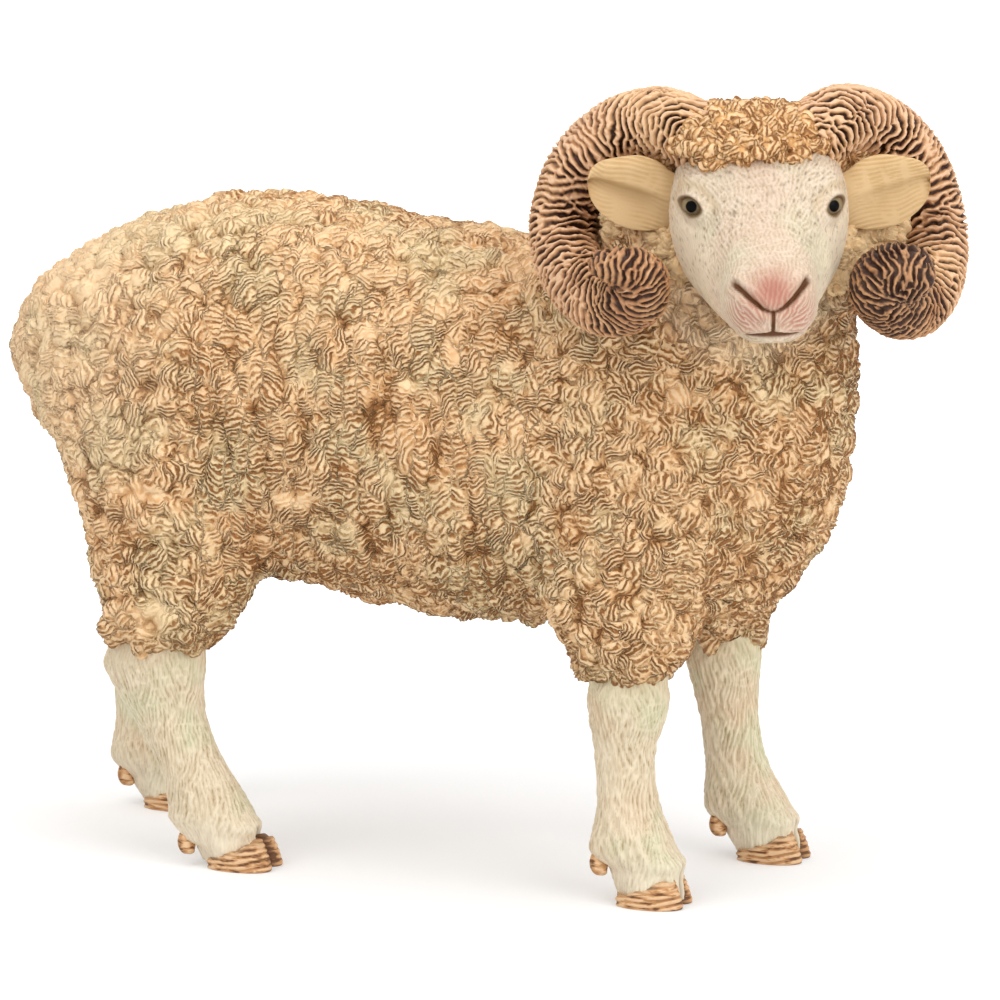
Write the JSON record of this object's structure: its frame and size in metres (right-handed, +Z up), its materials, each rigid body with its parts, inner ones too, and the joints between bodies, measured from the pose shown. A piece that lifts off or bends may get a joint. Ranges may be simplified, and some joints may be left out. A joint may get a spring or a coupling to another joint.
{
  "type": "toy ram figure",
  "caption": "Moulded and painted horned ram that stands on its hooves with curled horns, thick fleece and its head turned to one side.",
  "frame": {"origin": "middle of the bounding box, on the ground that the four hooves stand on", "axes": "+X the way the body faces, +Y the animal's left, +Z up"},
  "size_m": [0.1014, 0.0426, 0.0812],
  "materials": {
    "fleece": "hard PVC moulded as curly wool, painted cream over a brown wash that stays in the recesses",
    "poll_wool": "hard PVC moulded as short curls, painted golden tan with a brown wash",
    "face": "hard PVC with fine moulded hair, painted off-white with grey flecks and a pink nose",
    "ear": "hard PVC with fine moulded hair, painted warm cream",
    "horn": "hard PVC moulded in close ribs, painted pinkish tan over a dark brown wash",
    "eye": "gloss paint, black pupil on a grey-amber iris",
    "leg": "hard PVC with fine moulded hair, painted cream white",
    "hoof": "hard PVC with fine moulded grooves, painted tan brown with a darker wash"
  },
  "bodies": {
    "root": {"body_fleece": "fleece", "neck_fleece": "fleece", "tail": "fleece", "poll_wool": "poll_wool", "head": "face", "right_ear": "ear", "left_ear": "ear", "right_horn": "horn", "left_horn": "horn", "right_eye": "eye", "left_eye": "eye", "front_right_leg": "leg", "front_left_leg": "leg", "rear_right_leg": "leg", "rear_left_leg": "leg", "front_right_hoof": "hoof", "front_left_hoof": "hoof", "rear_right_hoof": "hoof", "rear_left_hoof": "hoof", "front_right_dewclaw_right": "hoof", "front_right_dewclaw_left": "hoof", "front_left_dewclaw_right": "hoof", "front_left_dewclaw_left": "hoof", "rear_right_dewclaw_right": "hoof", "rear_right_dewclaw_left": "hoof", "rear_left_dewclaw_right": "hoof", "rear_left_dewclaw_left": "hoof"}
  },
  "joints": []
}
